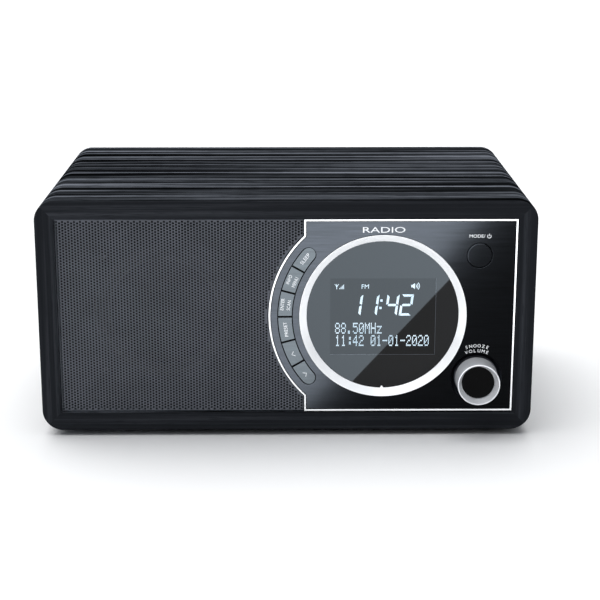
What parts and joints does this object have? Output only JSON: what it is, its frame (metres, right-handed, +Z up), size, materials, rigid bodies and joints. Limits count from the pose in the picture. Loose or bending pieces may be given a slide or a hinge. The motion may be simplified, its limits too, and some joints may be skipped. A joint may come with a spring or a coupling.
{
  "type": "tabletop radio",
  "caption": "Tabletop digital radio: wood-wrapped box cabinet, perforated speaker grille, round display with an arc of keys, push-turn volume knob and rear telescopic aerial.",
  "frame": {"origin": "on the surface it stands on, under the middle of the whole radio's box", "axes": "+X to the listener's right, +Y from the front to the back, +Z up"},
  "size_m": [0.261, 0.1844, 0.1283],
  "materials": {
    "cabinet_wrap": "black-ash vinyl wrap with embossed grain",
    "foot_rubber": "matt",
    "baffle": "matt black paint",
    "grille": "fine satin paint on perforated sheet",
    "surround_rubber": "satin",
    "cone_paper": "matt black pulp",
    "magnet": "dark ferrite and plated steel",
    "frame_steel": "zinc plated",
    "screws": "black plated",
    "fascia": "black anodised, brushed along the length",
    "keys": "black anodised, brushed",
    "trim": "bright satin",
    "ring": "satin",
    "window": "smoked gloss",
    "display": "black display glass",
    "knob": "turned, satin",
    "knob_face": "gloss black",
    "circuit_board": "green solder mask",
    "black_plastic": "moulded",
    "rear_plastic": "fine moulded texture",
    "shield": "tin plated",
    "ribbon": "grey flat cable",
    "lead_jacket": "PVC",
    "aerial_chrome": "bright plated tube"
  },
  "bodies": {
    "radio": {"cabinet_shell": "cabinet_wrap", "front_baffle": "baffle", "speaker_grille": "grille", "speaker_basket": "frame_steel", "speaker_surround": "surround_rubber", "speaker_magnet": "magnet", "fascia_plate": "fascia", "fascia_trim": "trim", "display_ring": "ring", "display_window": "window", "lcd_module": "display", "control_board": "circuit_board", "encoder_body": "frame_steel", "main_board": "circuit_board", "tuner_module": "shield", "dc_jack": "black_plastic", "headphone_jack": "black_plastic", "aux_jack": "black_plastic", "ribbon_cable": "ribbon", "speaker_lead": "lead_jacket", "rear_cover": "rear_plastic", "aerial_base": "rear_plastic", "aerial_rest": "rear_plastic", "foot_front_left": "foot_rubber", "foot_front_right": "foot_rubber", "foot_rear_left": "foot_rubber", "foot_rear_right": "foot_rubber", "tact_switch_1": "black_plastic", "tact_switch_2": "black_plastic", "tact_switch_3": "black_plastic", "tact_switch_4": "black_plastic", "tact_switch_5": "black_plastic", "tact_switch_6": "black_plastic", "tact_switch_7": "black_plastic", "speaker_screw_1": "screws", "cover_screw_1": "screws", "speaker_screw_2": "screws", "cover_screw_2": "screws", "speaker_screw_3": "screws", "cover_screw_3": "screws", "speaker_screw_4": "screws", "cover_screw_4": "screws"},
    "speaker_cone": {"speaker_cone": "cone_paper", "dust_cap": "cone_paper"},
    "knob_plunger": {"encoder_plunger": "black_plastic"},
    "volume_knob": {"volume_knob": "knob", "knob_cap": "knob_face", "encoder_shaft": "frame_steel"},
    "mode_button": {"mode_button": "keys"},
    "aerial_swivel": {"aerial_swivel": "aerial_chrome"},
    "aerial_tube_1": {"aerial_tube_1": "aerial_chrome"},
    "aerial_tube_2": {"aerial_tube_2": "aerial_chrome"},
    "aerial_tube_3": {"aerial_tube_3": "aerial_chrome"},
    "aerial_tip": {"aerial_tip": "aerial_chrome"},
    "key_sleep": {"key_sleep": "keys"},
    "key_menu": {"key_menu": "keys"},
    "key_enter": {"key_enter": "keys"},
    "key_preset": {"key_preset": "keys"},
    "key_up": {"key_up": "keys"},
    "key_down": {"key_down": "keys"}
  },
  "joints": [
    {"name": "key_sleep_press", "type": "hinge", "parent": "radio", "child": "key_sleep", "pos_m": [0.01275, -0.07785, 0.09472], "axis": [-0.6088, 0, -0.7934], "range_deg": [0, 4], "stiffness_Nm_per_rad": 0.09},
    {"name": "key_menu_press", "type": "hinge", "parent": "radio", "child": "key_menu", "pos_m": [0.00651, -0.07785, 0.08392], "axis": [-0.3827, 0, -0.9239], "range_deg": [0, 4], "stiffness_Nm_per_rad": 0.09},
    {"name": "key_enter_press", "type": "hinge", "parent": "radio", "child": "key_enter", "pos_m": [0.00329, -0.07785, 0.07188], "axis": [-0.1305, 0, -0.9914], "range_deg": [0, 4], "stiffness_Nm_per_rad": 0.09},
    {"name": "key_preset_press", "type": "hinge", "parent": "radio", "child": "key_preset", "pos_m": [0.00329, -0.07785, 0.05942], "axis": [0.1305, 0, -0.9914], "range_deg": [0, 4], "stiffness_Nm_per_rad": 0.09},
    {"name": "key_up_press", "type": "hinge", "parent": "radio", "child": "key_up", "pos_m": [0.00651, -0.07785, 0.04738], "axis": [0.3827, 0, -0.9239], "range_deg": [0, 4], "stiffness_Nm_per_rad": 0.09},
    {"name": "key_down_press", "type": "hinge", "parent": "radio", "child": "key_down", "pos_m": [0.01275, -0.07785, 0.03658], "axis": [0.6088, 0, -0.7934], "range_deg": [0, 4], "stiffness_Nm_per_rad": 0.09},
    {"name": "mode_press", "type": "hinge", "parent": "radio", "child": "mode_button", "pos_m": [0.1007, -0.07785, 0.105], "axis": [1, 0, 0], "range_deg": [0, 3.5], "stiffness_Nm_per_rad": 0.09},
    {"name": "snooze_press", "type": "slide", "parent": "radio", "child": "knob_plunger", "axis": [0, 1, 0], "range_m": [0, 0.0005], "stiffness_N_per_m": 6000},
    {"name": "volume_turn", "type": "hinge", "parent": "knob_plunger", "child": "volume_knob", "pos_m": [0.1007, -0.08515, 0.0319], "axis": [0, 1, 0], "continuous": true},
    {"name": "cone_travel", "type": "slide", "parent": "radio", "child": "speaker_cone", "axis": [0, -1, 0], "range_m": [-0.0015, 0.0015], "stiffness_N_per_m": 1200},
    {"name": "aerial_turn", "type": "hinge", "parent": "radio", "child": "aerial_swivel", "pos_m": [0.099, 0.08865, 0.107], "axis": [0, 1, 0], "range_deg": [0, 180]},
    {"name": "aerial_tilt", "type": "hinge", "parent": "aerial_swivel", "child": "aerial_tube_1", "pos_m": [0.099, 0.08865, 0.107], "axis": [0, 0, -1], "range_deg": [0, 90]},
    {"name": "aerial_slide_1", "type": "slide", "parent": "aerial_tube_1", "child": "aerial_tube_2", "axis": [-1, 0, 0], "range_m": [0, 0.15]},
    {"name": "aerial_slide_2", "type": "slide", "parent": "aerial_tube_2", "child": "aerial_tube_3", "axis": [-1, 0, 0], "range_m": [0, 0.15]},
    {"name": "aerial_slide_3", "type": "slide", "parent": "aerial_tube_3", "child": "aerial_tip", "axis": [-1, 0, 0], "range_m": [0, 0.15]}
  ]
}
